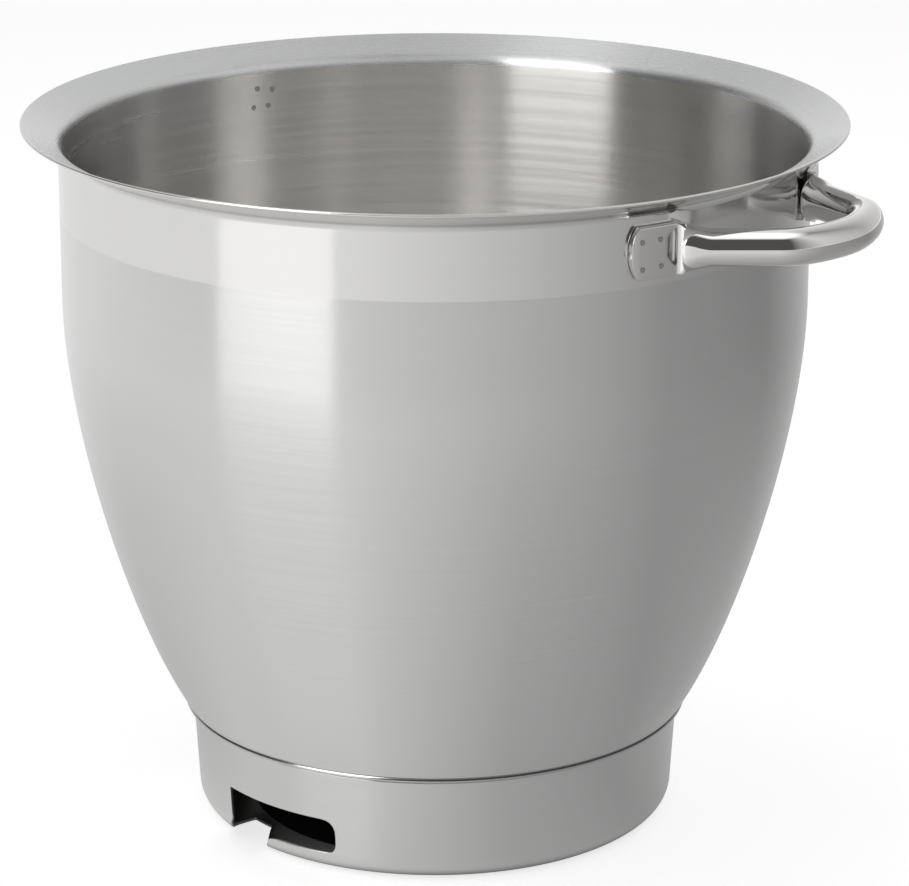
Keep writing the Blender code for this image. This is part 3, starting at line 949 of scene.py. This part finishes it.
# ------------------------------------------------------------ stage
def hide_from(obj, camera=False, diffuse=False, glossy=False, shadow=False):
    obj.visible_camera = not camera
    obj.visible_diffuse = not diffuse
    obj.visible_glossy = not glossy
    obj.visible_transmission = not glossy
    obj.visible_volume_scatter = False
    obj.visible_shadow = not shadow


def emission_material(name, build):
    mat = bpy.data.materials.new(name)
    mat.use_nodes = True
    mat.node_tree.nodes.clear()
    t = Tree(mat.node_tree)
    em = t.node("ShaderNodeEmission")
    out = t.node("ShaderNodeOutputMaterial")
    t.link(em.outputs[0], out.inputs[0])
    build(t, em)
    return mat


def plane(name, size, z):
    bm = bmesh.new()
    bmesh.ops.create_grid(bm, x_segments=1, y_segments=1, size=size / 2)
    mesh = bpy.data.meshes.new(name)
    bm.to_mesh(mesh)
    bm.free()
    obj = bpy.data.objects.new(name, mesh)
    obj.location.z = z
    scene.collection.objects.link(obj)
    return obj


# the pale floor that the bowl stands on, bright but for a thin contact shadow, and painted dark inside the
# ring's foot as painted shade
floor = plane("floor", 12.0, -0.0002)
floor_mat = bpy.data.materials.new("floor_pale")
floor_mat.use_nodes = True
fb = floor_mat.node_tree.nodes["Principled BSDF"]
fb.inputs["Base Color"].default_value = (0.80, 0.80, 0.80, 1.0)
fb.inputs["Roughness"].default_value = 1.0
fb.inputs["Specular IOR Level"].default_value = 0.0
fb.inputs["Emission Color"].default_value = (1.0, 1.0, 1.0, 1.0)
fb.inputs["Emission Strength"].default_value = 0.74
ft = Tree(floor_mat.node_tree)
fx, fy, fz = ft.separate(ft.node("ShaderNodeTexCoord").outputs["Object"])
from_axis = ft.vmath("LENGTH", ft.combine(fx, fy, 0.0))
# painted shade: inside the ring's foot the floor turns near-black and stops glowing
under = ft.smooth(0.0608, 0.0640, from_axis)
ft.link(ft.mix(under, (0.02, 0.02, 0.02), (0.80, 0.80, 0.80)), fb.inputs["Base Color"])
ft.link(ft.mix(under, (0.0, 0.0, 0.0), (1.0, 1.0, 1.0)), fb.inputs["Emission Color"])
floor.data.materials.append(floor_mat)
hide_from(floor, glossy=True, shadow=True)

# white surround, seen only by the camera
bm = bmesh.new()
bmesh.ops.create_uvsphere(bm, u_segments=48, v_segments=24, radius=7.0)
dome_mesh = bpy.data.meshes.new("surround")
bm.to_mesh(dome_mesh)
bm.free()
surround = bpy.data.objects.new("surround", dome_mesh)
scene.collection.objects.link(surround)
surround.data.materials.append(emission_material(
    "surround_white", lambda t, em: em.inputs["Strength"].__setattr__("default_value", 1.05)))
hide_from(surround, diffuse=True, glossy=True, shadow=True)

# ------------------------------------------------------------ the studio
# Plain soft cards in eight broad sectors of 45 degrees (centres -157.5 to +157.5,
# 0 = towards the camera, +90 = right), 1.0 being white card: a pale table top, a
# dim front, a pale wall behind and soft light from above.
# the table top is dimmer in the row nearest the bowl and in the sectors to its right: painted shade of the bowl
# on the table
TABLE_TOP = (
    (0.10, (0.6, 0.6, 0.8, 0.8, 0.5, 0.4, 0.5, 0.6)),
    (0.60, (0.9, 1.0, 1.0, 1.0, 0.7, 0.4, 0.3, 0.6)),
)
SURROUNDINGS = (
    (5.0, (0.9, 0.3, 0.1, 0.1, 0.1, 0.1, 0.1, 0.8)),
    (30.0, (0.8, 0.1, 0.1, 0.5, 0.9, 1.0, 0.9, 0.8)),
    (65.0, (0.9, 1.0, 1.5, 1.0, 0.5, 0.8, 0.6, 0.8)),
    (86.0, (0.5,) * 8),
)
BEHIND_TUBE = (
    (10.0, (1.3, 0.4, 0.2, 0.1, 0.1, 0.8, 0.6, 0.8)),
    (62.0, (1.3, 0.4, 0.2, 0.1, 0.1, 0.9, 0.3, 0.8)),
    (73.0, (1.5,) * 8),
)


def levels(t, coordinate, rows, azimuth, top):
    """Emission colour from rows of levels round the compass, blended in between."""
    fac = t.math("ADD", t.math("DIVIDE", azimuth, 2 * math.pi), 0.5)
    mixed = None
    for k, (at, row) in enumerate(rows):
        stops = [((i + 0.5) / len(row), v / top) for i, v in enumerate(row)]
        edge = (row[0] + row[-1]) / 2 / top
        ramp = t.ramp(fac, [(0.0, edge)] + stops + [(1.0, edge)])
        if mixed is None:
            mixed = ramp
        else:
            n = t.node("ShaderNodeMapRange", clamp=True)
            t.put(n.inputs["Value"], coordinate)
            n.inputs["From Min"].default_value = rows[k - 1][0]
            n.inputs["From Max"].default_value = at
            mixed = t.mix(n.outputs[0], mixed, ramp)
    return mixed


def compass(t):
    tc = t.node("ShaderNodeTexCoord").outputs["Object"]
    x, y, z = t.separate(tc)
    azimuth = t.math("ARCTAN2", x, t.math("MULTIPLY", y, -1.0))
    flat = t.vmath("LENGTH", t.combine(x, y, 0.0))
    return azimuth, flat, z


def table_glow(t, em):
    azimuth, flat, z = compass(t)
    colour = levels(t, flat, TABLE_TOP, azimuth, 2.0)
    # painted shade: the glowing table is dimmed inside the ring's foot, where the bowl shades it
    painted_shade_mask = t.smooth(0.071, 0.079, flat)
    shade = t.mix(painted_shade_mask, (0.09, 0.09, 0.09), (1.0, 1.0, 1.0))
    t.link(t.mix(1.0, colour, shade, blend="MULTIPLY"), em.inputs["Color"])
    em.inputs["Strength"].default_value = 2.0


glow = plane("table_glow", 12.0, -0.0001)
glow.data.materials.append(emission_material("table_glow", table_glow))
hide_from(glow, camera=True, diffuse=True, shadow=True)


def sky(name, radius, rows, receivers):
    """A light dome that adds its glow to what lies behind it."""
    bm = bmesh.new()
    bmesh.ops.create_uvsphere(bm, u_segments=72, v_segments=36, radius=radius)
    low = [v for v in bm.verts if v.co.z < -0.001]
    bmesh.ops.delete(bm, geom=low, context="VERTS")
    mesh = bpy.data.meshes.new(name)
    bm.to_mesh(mesh)
    bm.free()
    obj = bpy.data.objects.new(name, mesh)
    scene.collection.objects.link(obj)
    mat = bpy.data.materials.new(name)
    mat.use_nodes = True
    mat.node_tree.nodes.clear()
    t = Tree(mat.node_tree)
    azimuth, flat, z = compass(t)
    height = t.math("MULTIPLY", t.math("ARCTAN2", z, flat), 180.0 / math.pi)
    em = t.node("ShaderNodeEmission")
    t.link(levels(t, height, rows, azimuth, 2.5), em.inputs["Color"])
    em.inputs["Strength"].default_value = 2.5
    add = t.node("ShaderNodeAddShader")
    t.link(t.node("ShaderNodeBsdfTransparent").outputs[0], add.inputs[0])
    t.link(em.outputs[0], add.inputs[1])
    t.link(add.outputs[0], t.node("ShaderNodeOutputMaterial").inputs[0])
    obj.data.materials.append(mat)
    hide_from(obj, camera=True, diffuse=True, shadow=True)
    lit = bpy.data.collections.new(name + "_receivers")
    for r in receivers:
        lit.objects.link(r)
    obj.light_linking.receiver_collection = lit
    return obj


handles = [bpy.data.objects[n + "_visual"] for n, a in HANDLES]
sky("surroundings", 4.0, SURROUNDINGS, [shell, ring])
sky("behind_tube", 3.8, BEHIND_TUBE, handles)
sky("behind_shoulder", 3.6, ((2.0, (0.06,) * 24), (70.0, (0.09,) * 24)), [shoulder])

world = bpy.data.worlds.new("studio")
scene.world = world
world.use_nodes = True
world.node_tree.nodes["Background"].inputs["Color"].default_value = (0.0, 0.0, 0.0, 1.0)
world.node_tree.nodes["Background"].inputs["Strength"].default_value = 0.0

# the strip light to the left of the camera: brightest in its middle
STRIP_LEFT, STRIP_RIGHT = (-0.7245, -0.3755), (-0.243, -0.480)
mesh = bpy.data.meshes.new("strip_light")
mesh.from_pydata([(*STRIP_LEFT, 0.0), (*STRIP_RIGHT, 0.0), (*STRIP_RIGHT, 1.2), (*STRIP_LEFT, 1.2)],
                 [], [(0, 1, 2, 3)])
strip = bpy.data.objects.new("strip_light", mesh)
scene.collection.objects.link(strip)


def strip_glow(t, em):
    azimuth, flat, z = compass(t)
    t.link(t.ramp(t.math("DIVIDE", z, 1.2),
                  [(0.0, 1.32 / 6), (0.22, 1.30 / 6), (0.30, 5.2 / 6), (0.48, 5.4 / 6), (0.60, 1.6 / 6),
                   (1.0, 1.45 / 6)]), em.inputs["Color"])
    em.inputs["Strength"].default_value = 6.0


strip.data.materials.append(emission_material("strip_light", strip_glow))
hide_from(strip, camera=True, diffuse=True, shadow=True)


def area_light(name, location, aim, size_x, size_y, power, up=Vector((0, 0, 1)), glossy=True):
    data = bpy.data.lights.new(name, "AREA")
    data.shape = "RECTANGLE"
    data.size, data.size_y = size_x, size_y
    data.energy = power
    obj = bpy.data.objects.new(name, data)
    scene.collection.objects.link(obj)
    obj.location = location
    z = -(Vector(aim) - Vector(location)).normalized()
    x = up.cross(z).normalized()
    y = z.cross(x)
    obj.rotation_euler = Matrix((x, y, z)).transposed().to_euler()
    obj.visible_camera = False
    obj.visible_glossy = glossy
    return obj


# a broad overhead light for the table alone
area_light("overhead", (0.0, 0.1, 2.2), (0.0, 0.0, 0.0), 3.2, 3.2, 3.2 * 3.2 * math.pi * 0.9,
           up=Vector((0, 1, 0)), glossy=False)

scene.view_settings.view_transform = "Standard"
scene.view_settings.look = "None"
